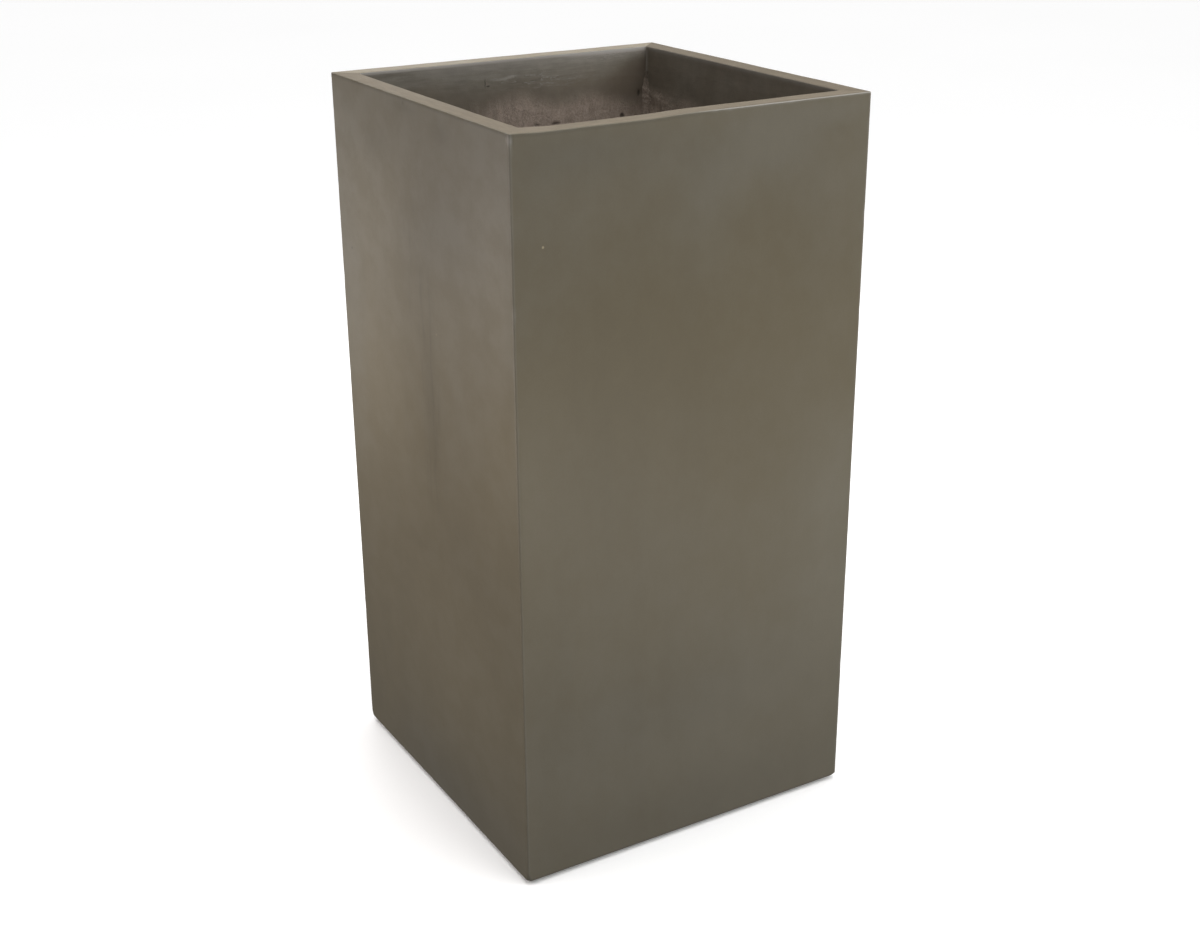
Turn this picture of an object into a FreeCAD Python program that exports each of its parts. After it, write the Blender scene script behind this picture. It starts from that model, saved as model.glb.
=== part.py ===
"""Tall square concrete planter: four mitred wall panels on a base slab, bedded in mortar, with a drain plug."""

import FreeCAD, Part
import os
import re
import Sketcher

# Driving dimensions in millimetres: alias, value, meaning
DIMENSIONS = (
    ("outer_side", 400, "outside width and depth of the walls"),
    ("wall_height", 775, "walls from their underside to the rim"),
    ("wall_thickness", 22, "wall panels, which is also the width of the rim"),
    ("arris_radius", 2.5, "rounding of the upright and lower outside edges"),
    ("rim_radius", 1.5, "rounding of the rim's edges"),
    ("base_thickness", 25, "base slab"),
    ("rebate_depth", 10, "how far the base slab reaches in under the walls"),
    ("corner_leg", 14, "corner fillet, from the corner along each wall"),
    ("corner_drop", 28, "top of the corner fillets below the rim"),
    ("feather_leg", 6, "corner fillet at its top, along each wall"),
    ("feather_length", 25, "stretch over which a corner fillet thins out towards its top"),
    ("bead_leg", 14, "base fillet, along the base and up the wall"),
    ("drain_diameter", 32, "drain hole through the base"),
    ("plug_clearance", 0.3, "gap round the top of the plug's stem"),
    ("plug_taper", 1.2, "stem radius lost from top to tip"),
    ("plug_recess", 3, "tip of the stem above the underside of the base"),
    ("flange_overlap", 7, "plug flange beyond the edge of the drain hole"),
    ("flange_thickness", 4, "plug flange"),
    ("neck_diameter", 9, "neck under the pull knob"),
    ("neck_height", 8, "neck under the pull knob"),
    ("knob_diameter", 20, "pull knob"),
    ("knob_height", 8, "pull knob"),
    ("plug_round", 1.5, "rounding of the plug's flange and knob"),
    ("foot_diameter", 45, "rubber foot"),
    ("foot_height", 4, "rubber foot"),
    ("foot_inset", 60, "centre of a foot from the outside of the walls"),
    ("foot_round", 1, "rounding of the lower edge of a foot"),
)
SHEET_NAME = "Sizes"
SIZE = {alias: value for alias, value, meaning in DIMENSIONS}

# Sides and corners in turn, anticlockwise seen from above, each a quarter turn from the one before
SIDES = ("front", "right", "back", "left")
CORNERS = ("front_left", "front_right", "back_right", "back_left")
CORNER_SIGNS = ((-1, -1), (1, -1), (1, 1), (-1, 1))
QUARTER_TURN = 90
UP = FreeCAD.Vector(0, 0, 1)

# Levels and widths that several pieces share, as formulas of the driving dimensions
BASE_TOP = "foot_height + base_thickness"
INNER_SIDE = "outer_side - 2 * wall_thickness"
BASE_SIDE = f"{INNER_SIDE} + 2 * rebate_depth"
STEM_LENGTH = "base_thickness - plug_recess"

# Sketch geometry is drawn at this half size, and its constraints then set the real one
DRAWN_HALF = 10
NEAR = 1e-4

doc = FreeCAD.newDocument("planter")


def sized(formula):
    """The formula with each driving dimension read from the sheet."""
    return re.sub(r"[a-z]+_[a-z]+", lambda word: f"{SHEET_NAME}.{word.group()}", formula)


def bind(feature, **formulas):
    """Bind properties to formulas of the driving dimensions."""
    for name, formula in formulas.items():
        feature.setExpression(name, sized(formula))


def place(feature, x="0", y="0", z="0", turn=0):
    """Turn a feature about +Z and bind its origin."""
    feature.Placement = FreeCAD.Placement(FreeCAD.Vector(), FreeCAD.Rotation(UP, turn))
    for axis, formula in (("x", x), ("y", y), ("z", z)):
        feature.setExpression(f"Placement.Base.{axis}", sized(formula))


def write_sheet():
    sheet = doc.addObject("Spreadsheet::Sheet", SHEET_NAME)
    for row, (alias, value, meaning) in enumerate(DIMENSIONS, 1):
        sheet.set(f"A{row}", meaning)
        sheet.set(f"B{row}", str(value))
        sheet.setAlias(f"B{row}", alias)
    doc.recompute()


def new_body(name):
    body = doc.addObject("PartDesign::Body", name)
    body.Label = name
    return body


def new_sketch(body, name, plane, level="0"):
    """An empty sketch on one of the body's origin planes, raised to a level."""
    sketch = body.newObject("Sketcher::SketchObject", name)
    support = next(item for item in body.Origin.OriginFeatures if item.Role == plane)
    sketch.AttachmentSupport = (support, [""])
    sketch.MapMode = "FlatFace"
    sketch.setExpression("AttachmentOffset.Base.z", sized(level))
    return sketch


def constrain(sketch, formula, *constraint):
    """Add a dimension to a sketch and bind it."""
    number = sketch.addConstraint(Sketcher.Constraint(*constraint, DRAWN_HALF))
    sketch.renameConstraint(number, f"size_{number}")
    sketch.setExpression(f"Constraints.size_{number}", sized(formula))


def add_closed_lines(sketch, corners):
    """A closed run of straight lines through drawn corners."""
    points = [FreeCAD.Vector(x, y, 0) for x, y in corners]
    for start, end in zip(points, points[1:] + points[:1]):
        sketch.addGeometry(Part.LineSegment(start, end))
    for line in range(len(points)):
        sketch.addConstraint(Sketcher.Constraint("Coincident", line, 2, (line + 1) % len(points), 1))


def square_sketch(body, name, side, level):
    """A square about the body's Z axis."""
    sketch = new_sketch(body, name, "XY_Plane", level)
    add_closed_lines(sketch, [(x * DRAWN_HALF, y * DRAWN_HALF) for x, y in CORNER_SIGNS])
    for line, direction in enumerate(("Horizontal", "Vertical") * 2):
        sketch.addConstraint(Sketcher.Constraint(direction, line))
    sketch.addConstraint(Sketcher.Constraint("Symmetric", 0, 1, 2, 1, -1, 1))
    constrain(sketch, side, "DistanceX", 0, 1, 0, 2)
    constrain(sketch, side, "DistanceY", 1, 1, 1, 2)
    return sketch


def circle_sketch(body, name, diameter, level):
    """A circle about the body's Z axis."""
    sketch = new_sketch(body, name, "XY_Plane", level)
    sketch.addGeometry(Part.Circle(FreeCAD.Vector(), UP, DRAWN_HALF))
    sketch.addConstraint(Sketcher.Constraint("Coincident", 0, 3, -1, 1))
    constrain(sketch, diameter, "Diameter", 0)
    return sketch


def corner_sketch(body, name, leg):
    """A right-angled triangle with equal legs along the body's X and Y axes."""
    sketch = new_sketch(body, name, "XY_Plane")
    add_closed_lines(sketch, [(0, 0), (DRAWN_HALF, 0), (0, DRAWN_HALF)])
    sketch.addConstraint(Sketcher.Constraint("Coincident", 0, 1, -1, 1))
    sketch.addConstraint(Sketcher.Constraint("Horizontal", 0))
    sketch.addConstraint(Sketcher.Constraint("Vertical", 2))
    constrain(sketch, leg, "DistanceX", 0, 1, 0, 2)
    constrain(sketch, leg, "DistanceY", 2, 2, 2, 1)
    return sketch


def profile_sketch(body, name, outline):
    """Half a turned outline, radius and height at each corner, from the axis round to the axis again."""
    sketch = new_sketch(body, name, "XZ_Plane")
    drawn = [(index if radius != "0" else 0, index) for index, (radius, height) in enumerate(outline)]
    add_closed_lines(sketch, drawn)
    for line, (radius, height) in enumerate(outline):
        if radius == "0":
            sketch.addConstraint(Sketcher.Constraint("PointOnObject", line, 1, -2))
        else:
            constrain(sketch, radius, "DistanceX", -1, 1, line, 1)
        if height == "0":
            sketch.addConstraint(Sketcher.Constraint("PointOnObject", line, 1, -1))
        else:
            constrain(sketch, height, "DistanceY", -1, 1, line, 1)
    return sketch


def pad(body, sketch, length):
    feature = body.newObject("PartDesign::Pad", f"{sketch.Name}_pad")
    feature.Profile = sketch
    bind(feature, Length=length)
    return feature


def pocket_up(body, sketch, depth):
    """Cut from a sketch upwards."""
    feature = body.newObject("PartDesign::Pocket", f"{sketch.Name}_pocket")
    feature.Profile = sketch
    feature.Reversed = True
    bind(feature, Length=depth)
    return feature


def dress_edges(body, kind, name, test):
    """A fillet or chamfer on those edges of the body's last feature that pass the test."""
    doc.recompute()
    base = body.Tip
    edges = [f"Edge{number}" for number, edge in enumerate(base.Shape.Edges, 1) if test(edge)]
    feature = body.newObject(f"PartDesign::{kind}", name)
    feature.Base = (base, edges)
    return feature


def round_edges(body, name, radius, test):
    bind(dress_edges(body, "Fillet", name, test), Radius=radius)


def boolean(kind, name, base, tool):
    feature = doc.addObject(f"Part::{kind}", name)
    feature.Label = name
    feature.Base = base
    feature.Tool = tool
    return feature


def same(first, second):
    return abs(first - second) < NEAR


def at_level(edge, level):
    return same(edge.CenterOfMass.z, level)


def make_shell():
    """The four walls as one square tube, with the rebate for the base and all rounded edges."""
    body = new_body("shell")
    pad(body, square_sketch(body, "shell_outside", "outer_side", "foot_height"), "wall_height")
    pocket_up(body, square_sketch(body, "shell_inside", INNER_SIDE, "foot_height"), "wall_height")
    pocket_up(body, square_sketch(body, "shell_rebate", BASE_SIDE, "foot_height"), "base_thickness")
    outside = SIZE["outer_side"] / 2
    underside = SIZE["foot_height"]
    rim = SIZE["foot_height"] + SIZE["wall_height"]

    def upright_or_lower(edge):
        middle = edge.CenterOfMass
        near_reach, far_reach = sorted((abs(middle.x), abs(middle.y)))
        lower = at_level(edge, underside) and same(far_reach, outside)
        return lower or same(near_reach, outside)

    round_edges(body, "shell_arrises", "arris_radius", upright_or_lower)
    round_edges(body, "shell_rim_edges", "rim_radius", lambda edge: at_level(edge, rim))
    return body


def make_sectors():
    """One right-angled sector about the Z axis for each side: its two faces are the mitre planes."""
    sectors = []
    for index, side in enumerate(SIDES):
        sector = doc.addObject("Part::Wedge", f"sector_{side}")
        bind(
            sector, Xmin="-outer_side", Xmax="outer_side", Ymin="-outer_side", Zmax="2 * wall_height",
            Z2max="2 * wall_height",
        )
        sector.X2min = sector.X2max = sector.Ymax = sector.Zmin = sector.Z2min = 0
        place(sector, turn=QUARTER_TURN * index)
        sectors.append(sector)
    return sectors


def make_walls(sectors):
    shell = make_shell()
    return [boolean("Common", f"wall_{side}", shell, sector) for side, sector in zip(SIDES, sectors)]


def make_base_slab():
    body = new_body("base_slab")
    pad(body, square_sketch(body, "base_outline", BASE_SIDE, "foot_height"), "base_thickness")
    pocket_up(body, circle_sketch(body, "base_drain", "drain_diameter", "foot_height"), "base_thickness")
    return body


def make_corner_fillets():
    """Three-cornered mortar strips up the inside corners, from the base to just under the rim."""
    half_inner = f"({INNER_SIDE}) / 2"
    length = SIZE["wall_height"] - SIZE["base_thickness"] - SIZE["corner_drop"]
    fillets = []
    for index, (corner, (sign_x, sign_y)) in enumerate(zip(CORNERS, CORNER_SIGNS)):
        name = f"corner_fillet_{corner}"
        body = new_body(name)
        sketch = corner_sketch(body, f"{name}_outline", "corner_leg")
        pad(body, sketch, "wall_height - base_thickness - corner_drop")

        def sloping_face_top(edge):
            return at_level(edge, length) and same(edge.CenterOfMass.x, edge.CenterOfMass.y)

        feather = dress_edges(body, "Chamfer", f"{name}_feather", sloping_face_top)
        feather.ChamferType = "Two distances"
        bind(feather, Size="feather_length", Size2="(corner_leg - feather_leg) / sqrt(2)")
        place(body, f"{sign_x} * {half_inner}", f"{sign_y} * {half_inner}", BASE_TOP, QUARTER_TURN * index)
        fillets.append(body)
    return fillets


def make_base_fillets(sectors, corner_fillets):
    """Mortar beads round the base, mitred together and fitted round the feet of the corner fillets."""
    block = doc.addObject("Part::Box", "bead_block")
    bind(block, Length=INNER_SIDE, Width=INNER_SIDE, Height="bead_leg")
    place(block, f"-({INNER_SIDE}) / 2", f"-({INNER_SIDE}) / 2", BASE_TOP)

    # The hollow widens upwards, from the beads' toes on the base to the wall
    hollow = doc.addObject("Part::Wedge", "bead_hollow")
    half_top = f"({INNER_SIDE}) / 2"
    half_toe = f"{half_top} - bead_leg"
    bind(
        hollow, Xmin=f"-({half_toe})", Xmax=half_toe, Zmin=f"-({half_toe})", Zmax=half_toe, Ymax="bead_leg",
        X2min=f"-{half_top}", X2max=half_top, Z2min=f"-{half_top}", Z2max=half_top,
    )
    hollow.Ymin = 0
    place(hollow, z=BASE_TOP)
    hollow.Placement.Rotation = FreeCAD.Rotation(FreeCAD.Vector(1, 0, 0), QUARTER_TURN)

    ring = boolean("Cut", "bead_ring", block, hollow)
    strips = doc.addObject("Part::MultiFuse", "corner_strips")
    strips.Shapes = corner_fillets
    fitted = boolean("Cut", "bead_fitted", ring, strips)
    return [boolean("Common", f"base_fillet_{side}", fitted, sector) for side, sector in zip(SIDES, sectors)]


def make_drain_plug():
    """Rubber plug turned in one piece: tapered stem, flange that seats on the base, neck and pull knob."""
    stem_radius = "drain_diameter / 2 - plug_clearance"
    flange_radius = "drain_diameter / 2 + flange_overlap"
    flange_top = f"{STEM_LENGTH} + flange_thickness"
    knob_base = f"{flange_top} + neck_height"
    knob_top = f"{knob_base} + knob_height"
    body = new_body("drain_plug")
    profile = profile_sketch(body, "plug_profile", (
        ("0", "0"),
        (f"{stem_radius} - plug_taper", "0"),
        (stem_radius, STEM_LENGTH),
        (flange_radius, STEM_LENGTH),
        (flange_radius, flange_top),
        ("neck_diameter / 2", flange_top),
        ("neck_diameter / 2", knob_base),
        ("knob_diameter / 2", knob_base),
        ("knob_diameter / 2", knob_top),
        ("0", knob_top),
    ))
    turned = body.newObject("PartDesign::Revolution", "plug_turned")
    turned.Profile = profile
    turned.ReferenceAxis = (profile, ["V_Axis"])
    turned.Angle = 360
    rims = (SIZE["drain_diameter"] / 2 + SIZE["flange_overlap"], SIZE["knob_diameter"] / 2)

    def outer_rim(edge):
        return isinstance(edge.Curve, Part.Circle) and any(same(edge.Curve.Radius, rim) for rim in rims)

    round_edges(body, "plug_rounded", "plug_round", outer_rim)
    place(body, z="foot_height + plug_recess")
    return body


def make_feet():
    """Round rubber pads under the base slab."""
    reach = "(outer_side / 2 - foot_inset)"
    feet = []
    for corner, (sign_x, sign_y) in zip(CORNERS, CORNER_SIGNS):
        body = new_body(f"foot_{corner}")
        pad(body, circle_sketch(body, f"foot_{corner}_outline", "foot_diameter", "0"), "foot_height")
        round_edges(body, f"foot_{corner}_edge", "foot_round", lambda edge: at_level(edge, 0))
        place(body, f"{sign_x} * {reach}", f"{sign_y} * {reach}")
        feet.append(body)
    return feet


def check(parts):
    """Stop if a feature failed to compute, a cut took nothing away or a piece isn't one sound solid."""
    for item in doc.Objects:
        if "Invalid" in item.State or "Error" in item.State:
            raise RuntimeError(f"{item.Name} failed to compute")
        if item.isDerivedFrom("PartDesign::Pocket") and same(item.Shape.Volume, item.BaseFeature.Shape.Volume):
            raise RuntimeError(f"{item.Name} cuts nothing")
    for part in parts:
        shape = part.Shape
        if shape.isNull() or not shape.isValid() or len(shape.Solids) != 1:
            raise RuntimeError(f"{part.Label} isn't one valid solid")


def main():
    write_sheet()
    sectors = make_sectors()
    corner_fillets = make_corner_fillets()
    parts = make_walls(sectors) + [make_base_slab()] + corner_fillets
    parts += make_base_fillets(sectors, corner_fillets) + [make_drain_plug()] + make_feet()
    doc.recompute()
    check(parts)
    os.makedirs("parts", exist_ok=True)
    for part in parts:
        part.Shape.exportStep(f"parts/{part.Label}.step")
        print(part.Label, "volume in cubic cm", round(part.Shape.Volume / 1000, 2))


main()
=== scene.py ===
import math
import random

import bmesh
import bpy
import numpy as np
from mathutils import Matrix, Vector, noise


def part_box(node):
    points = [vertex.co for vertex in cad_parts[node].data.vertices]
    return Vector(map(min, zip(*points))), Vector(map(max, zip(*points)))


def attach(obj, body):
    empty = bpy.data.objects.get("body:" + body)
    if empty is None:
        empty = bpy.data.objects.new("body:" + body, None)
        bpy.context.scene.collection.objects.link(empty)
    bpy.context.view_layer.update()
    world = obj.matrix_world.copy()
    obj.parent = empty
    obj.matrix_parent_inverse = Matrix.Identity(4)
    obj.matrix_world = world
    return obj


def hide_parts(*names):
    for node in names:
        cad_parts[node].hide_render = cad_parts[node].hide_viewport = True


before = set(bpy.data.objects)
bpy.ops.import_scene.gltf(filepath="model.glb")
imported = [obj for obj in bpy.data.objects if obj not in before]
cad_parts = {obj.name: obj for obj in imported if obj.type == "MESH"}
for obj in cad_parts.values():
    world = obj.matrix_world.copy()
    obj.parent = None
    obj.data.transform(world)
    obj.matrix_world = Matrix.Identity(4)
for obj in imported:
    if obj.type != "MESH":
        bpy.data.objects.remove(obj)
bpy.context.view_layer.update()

# Sizes in metres, read from the frame
SIDES = ("front", "right", "back", "left")
CORNERS = ("back_right", "back_left", "front_left", "front_right")
wall_low, wall_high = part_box("wall_front")
base_low, base_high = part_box("base_slab")
strip_low, strip_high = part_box("corner_fillet_back_right")
bead_low, bead_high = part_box("base_fillet_front")
plug_low, plug_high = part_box("drain_plug")
HALF = -wall_low.y
WALL = wall_high.y - wall_low.y
INNER_HALF = HALF - WALL
UNDERSIDE = wall_low.z
RIM = wall_high.z
BASE_TOP = base_high.z
BASE_HALF = base_high.x

# Rounding of the walls' edges and spacing of their mesh
RIM_ROUND = 0.0011
UPRIGHT_ROUND_TOP = 0.0016
UPRIGHT_ROUND_LOW = 0.0022
FOOT_ROUND = 0.0045
FOOT_ROUND_RISE = 0.010
LOWER_ROUND = 0.0036
INNER_ROUND = 0.0045
ARC_STEPS = 5
FINE_STATION = 0.0007
STATION = 0.0021
FINE_ROW = 0.0015
COARSE_ROW = 0.011
FINE_DEPTH = 0.085
MITRE_SHARE = 1 - math.sqrt(0.5)

# Unevenness of the walls
OUTER_WAVE = 0.0003
INNER_WAVE = 0.0007
RIM_WAVE = 0.0004
NICK_DEPTH = 0.0002
LEDGE_DEPTH = 0.021
LEDGE_PROUD = 0.0009
GRIT = 0.00042
CHIP_SIZE = 0.0034
CHIP_FACING = (1, -1, -2.6)
# Paleness along the edges: wear, and painted light lifting the upright edges
EDGE_WEAR_AND_LIFT = 0.12
RIM_SAG = 0.0012
TOP_CHIP_DEPTH = 0.0007
CHIP_ROUGHNESS = 0.0006
FLARE_PROUD = 0.0012
PIT_DEPTH = 0.003

# Ends of the walls that meet at the near corner and at the chipped corner
NEAR_ENDS = {"front": -1, "left": 1}
CHIPPED_ENDS = {"front": 1, "right": -1}

# Pits and a scratch inside the back wall: distance from the right corner, depth below the rim, half width,
# half height and shade. The shade is painted shade in the pits, and the scratch's own darkness.
SEEN_PITS = (
    (0.145, 0.0763, 0.0032, 0.0016, 0.62), (0.120, 0.0765, 0.0050, 0.0018, 0.56),
    (0.033, 0.0760, 0.0032, 0.0034, 0.34), (0.0105, 0.0525, 0.0017, 0.0034, 0.55),
)
SCRATCH = ((0.208, 0.0240, 0.0007, 0.0048, 0.45), (0.2045, 0.0275, 0.0022, 0.0008, 0.45))
SEEN_PIT_DEPTH_SHARE = 0.4
PIT_WARP = 0.0022
PITS_PER_WALL = 46
PIT_RADIUS = (0.0014, 0.0032)

# Share of grey in the sealed faces at a few heights: painted sheen, greyer near the top and bottom and
# browner in the middle
GREY_HEIGHTS = (0.03, 0.14, 0.33, 0.55, 0.72)
SHEEN_GREY_SHARES = {"front": (0.80, 0.90, 0.30, 0.03, 0.58), "left": (0.30, 0.05, 0.10, 0.45, 0.50)}

# Painted light on the rim, brighter at the back and darker on the right as the light falls on it, and the
# painted shade in the dark lines beside its outer edge
RIM_PAINTED_LIGHT = {"front": 0.97, "right": 0.83, "back": 1.45, "left": 0.94}
EDGE_SHADE_TONE = 0.72

# Strength of the mottling low and high on a face
MOTTLING = {"front": (0.3, 0.4), "left": (0.6, 1.3)}

# Painted light and clouds on the sides in view: centre along and up, reach along and up, added grey, added
# brightness. Many are painted light: sheen along the left edge of the left face and over the upper and right
# parts of the front, a painted reflection on the front's middle near its left edge, and painted shade across
# the top of the left face. The rest are blotches, streaks and darker patches, and darkening towards the
# bottom.
PAINTED_LIGHT_AND_CLOUDS = {
    "front": (
        (0.075, 0.745, 0.055, 0.035, 0.5, 0.03), (0.005, 0.700, 0.040, 0.045, 0.35, 0.045),
        (0.150, 0.762, 0.035, 0.014, 0.5, 0.06), (0.165, 0.748, 0.012, 0.008, -0.3, -0.09),
        (-0.12, 0.755, 0.090, 0.025, 0.35, -0.07), (0.060, 0.672, 0.030, 0.020, -0.2, -0.05),
        (0.000, 0.740, 0.030, 0.020, -0.1, -0.06), (0.000, 0.560, 0.110, 0.100, -0.1, -0.025),
        (-0.19, 0.460, 0.050, 0.120, 0.1, 0.12), (-0.10, 0.600, 0.060, 0.040, -0.2, -0.03),
        (-0.04, 0.170, 0.140, 0.050, 0.1, -0.05), (0.190, 0.380, 0.070, 0.150, 0.4, 0.13),
        (0.180, 0.220, 0.050, 0.100, 0.2, 0.07), (0.000, 0.020, 0.250, 0.060, 0.15, -0.15),
        (0.130, 0.420, 0.140, 0.240, 0.15, 0.075),
    ),
    "left": (
        (-0.19, 0.430, 0.050, 0.140, 0.5, 0.19), (0.170, 0.470, 0.060, 0.120, -0.1, 0.11),
        (-0.01, 0.630, 0.050, 0.090, -0.1, -0.14), (0.014, 0.475, 0.018, 0.080, 0.0, -0.15),
        (-0.03, 0.305, 0.050, 0.018, -0.1, -0.06), (-0.09, 0.722, 0.030, 0.016, -0.2, -0.11),
        (0.065, 0.757, 0.016, 0.012, -0.2, -0.12), (0.000, 0.780, 0.400, 0.090, 0.0, -0.21),
        (0.030, 0.010, 0.180, 0.060, 0.2, -0.18), (0.030, 0.400, 0.060, 0.060, -0.1, -0.05),
        (-0.18, 0.745, 0.040, 0.030, 0.5, 0.09), (0.080, 0.735, 0.130, 0.040, -0.2, -0.05),
        (-0.19, 0.560, 0.035, 0.110, 0.5, 0.02), (0.180, 0.610, 0.040, 0.060, 0.0, 0.06),
        (-0.17, 0.060, 0.060, 0.090, -0.5, 0.00), (0.090, 0.180, 0.140, 0.070, 0.1, 0.07),
        (-0.02, 0.769, 0.026, 0.005, -0.3, -0.14), (0.000, 0.690, 0.100, 0.050, -0.2, 0.00),
        (0.060, 0.665, 0.075, 0.060, 0.0, -0.18), (-0.12, 0.470, 0.075, 0.090, 0.1, 0.18),
        (0.070, 0.325, 0.080, 0.045, 0.0, -0.06), (0.190, 0.490, 0.025, 0.075, 0.0, 0.08),
    ),
}

# Mortar strips and beads
STRIP_STEPS = 8
COVE = 0.16
NARROW_LEG = 0.5
LUMP = 0.0011

# Base slab with its drain hole, plug and feet
BASE_WAVE = 0.0009
HOLE_RADIUS = 0.016
HOLE_EDGE = 0.0012
STEM_RADIUS = 0.0157
STEM_TIP_RADIUS = 0.0145
FLANGE = 0.004
NECK_RADIUS = 0.0045
KNOB_RADIUS = 0.010
KNOB_HEIGHT = 0.008
RIB_DEPTH = 0.0006
FOOT_GROOVES = (0.006, 0.011, 0.016)
FOOT_GROOVE_DEPTH = 0.0009
TURNED_STEPS = 72
SHARP_EDGE_DEGREES = 35


def noise_at(points, scale, shift=0.0):
    """Smooth noise from -1 to 1 at each of the points, with features about 1 / scale metres across."""
    flat = np.asarray(points, float).reshape(-1, 3) * scale + shift
    values = np.array([noise.noise(Vector(point)) for point in flat])
    return values.reshape(np.shape(points)[:-1])


def smooth_step(low, high, value):
    share = np.clip((value - low) / (high - low), 0, 1)
    return share * share * (3 - 2 * share)


def blob(along, height, centre, reach):
    """A soft spot: 1 at its centre, fading to 0 over the reach along and up the wall."""
    return np.exp(-((along - centre[0]) / reach[0]) ** 2 - ((height - centre[1]) / reach[1]) ** 2)


def graded(start, end, fine, coarse, growth=1.35):
    """Positions from start to end, close together at both ends and wider apart in the middle."""
    reach, step, marks = 0.0, fine, [0.0]
    half_length = abs(end - start) / 2
    while reach + step < half_length:
        reach += step
        marks.append(reach)
        step = min(step * growth, coarse)
    shares = np.array(marks) / reach / 2
    return start + (end - start) * np.concatenate([shares, 1 - shares[-2::-1]])


def about_z(points, quarter_turns):
    """Points turned about the Z axis."""
    turned = np.array(points, float)
    for _ in range(quarter_turns % 4):
        turned = np.stack([-turned[..., 1], turned[..., 0], turned[..., 2]], -1)
    return turned


def ring_faces(rings, around, looped=False):
    """Quads between rings of points stored one after the other, with end caps unless the rings loop."""
    faces = []
    for ring in range(rings if looped else rings - 1):
        following_ring = (ring + 1) % rings
        for point in range(around):
            following = (point + 1) % around
            faces.append((
                ring * around + point, ring * around + following,
                following_ring * around + following, following_ring * around + point,
            ))
    if not looped:
        faces.append(tuple(range(around)))
        faces.append(tuple((rings - 1) * around + point for point in range(around)))
    return faces


def mesh_piece(name, points, faces, materials, face_slots=None, attributes=None):
    """A mesh object, smooth except at sharp edges, with one number per vertex for each named attribute."""
    mesh = bpy.data.meshes.new(name)
    mesh.from_pydata([tuple(point) for point in np.reshape(points, (-1, 3))], [], faces)
    for material in materials:
        mesh.materials.append(material)
    if face_slots is not None:
        mesh.polygons.foreach_set("material_index", face_slots)
    for key, values in (attributes or {}).items():
        layer = mesh.attributes.new(key, "FLOAT", "POINT")
        layer.data.foreach_set("value", np.asarray(values, np.float32).ravel())
    work = bmesh.new()
    work.from_mesh(mesh)
    bmesh.ops.recalc_face_normals(work, faces=work.faces)
    work.to_mesh(mesh)
    work.free()
    mesh.shade_smooth()
    mesh.set_sharp_from_angle(angle=math.radians(SHARP_EDGE_DEGREES))
    piece = bpy.data.objects.new(name, mesh)
    bpy.context.scene.collection.objects.link(piece)
    return piece


def dress(piece, node, body):
    """The piece rides on a body in place of a node, which is hidden."""
    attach(piece, body)
    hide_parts(node)


# Materials
def rgb(red, green, blue):
    return (red, green, blue, 1.0)


def new_material(name):
    material = bpy.data.materials.new(name)
    material.use_nodes = True
    tree = material.node_tree
    return material, tree, tree.nodes["Principled BSDF"]


def add(tree, kind, inputs=None, **settings):
    """A node with its settings, and a value or another node's output for each named input."""
    made = tree.nodes.new(f"ShaderNode{kind}")
    for key, value in settings.items():
        setattr(made, key, value)
    for key, value in (inputs or {}).items():
        if isinstance(value, bpy.types.NodeSocket):
            tree.links.new(value, made.inputs[key])
        else:
            made.inputs[key].default_value = value
    return made


def place_coordinates(tree, stretch=(1, 1, 1)):
    """Position on the object in metres, stretched along each axis."""
    where = add(tree, "TexCoord").outputs["Object"]
    return add(tree, "Mapping", {"Vector": where, "Scale": stretch}).outputs["Vector"]


def noise_value(tree, where, scale, detail=3.0, roughness=0.5):
    inputs = {"Vector": where, "Scale": scale, "Detail": detail, "Roughness": roughness}
    return add(tree, "TexNoise", inputs).outputs["Fac"]


def remap(tree, value, low, high, to_low=0.0, to_high=1.0):
    inputs = {"Value": value, "From Min": low, "From Max": high, "To Min": to_low, "To Max": to_high}
    return add(tree, "MapRange", inputs).outputs["Result"]


def maths(tree, operation, first, second):
    return add(tree, "Math", {0: first, 1: second}, operation=operation).outputs[0]


def mix_colour(tree, share, first, second, blend="MIX"):
    made = add(tree, "Mix", {0: share, 6: first, 7: second}, data_type="RGBA", blend_type=blend)
    return made.outputs[2]


def scale_colour(tree, colour, value):
    """The colour times a grey value."""
    grey = add(tree, "CombineColor", {"Red": value, "Green": value, "Blue": value}).outputs[0]
    return mix_colour(tree, 1.0, colour, grey, "MULTIPLY")


def two_tone(tree, value, spread, first, second):
    """Two colours mixed by noise, over the spread on either side of its middle."""
    return mix_colour(tree, remap(tree, value, 0.5 - spread, 0.5 + spread), rgb(*first), rgb(*second))


def varied(tree, colour, value, spread, darkest, palest):
    """The colour made darker and paler by noise, over the spread on either side of its middle."""
    return scale_colour(tree, colour, remap(tree, value, 0.5 - spread, 0.5 + spread, darkest, palest))


def darkened(tree, colour, share, darkest):
    """The colour, darkened to the given part of it where the share is 1."""
    return scale_colour(tree, colour, remap(tree, share, 0, 1, 1.0, darkest))


def attribute(tree, name):
    return add(tree, "Attribute", attribute_name=name).outputs["Fac"]


def bump(tree, height, distance, strength=1.0, normal=None):
    inputs = {"Height": height, "Distance": distance, "Strength": strength}
    if normal is not None:
        inputs["Normal"] = normal
    return add(tree, "Bump", inputs).outputs["Normal"]


# Small marks on the outside faces: place, radius and brightness
SPECKS = (
    ((-0.168, -0.2, 0.674), 0.0016, 2.6),
    ((-0.2, -0.034, 0.553), 0.0017, 1.35),
    ((-0.2, 0.171, 0.596), 0.0018, 0.6),
    ((-0.2, 0.0195, 0.7735), 0.0024, 0.75),
)


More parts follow.
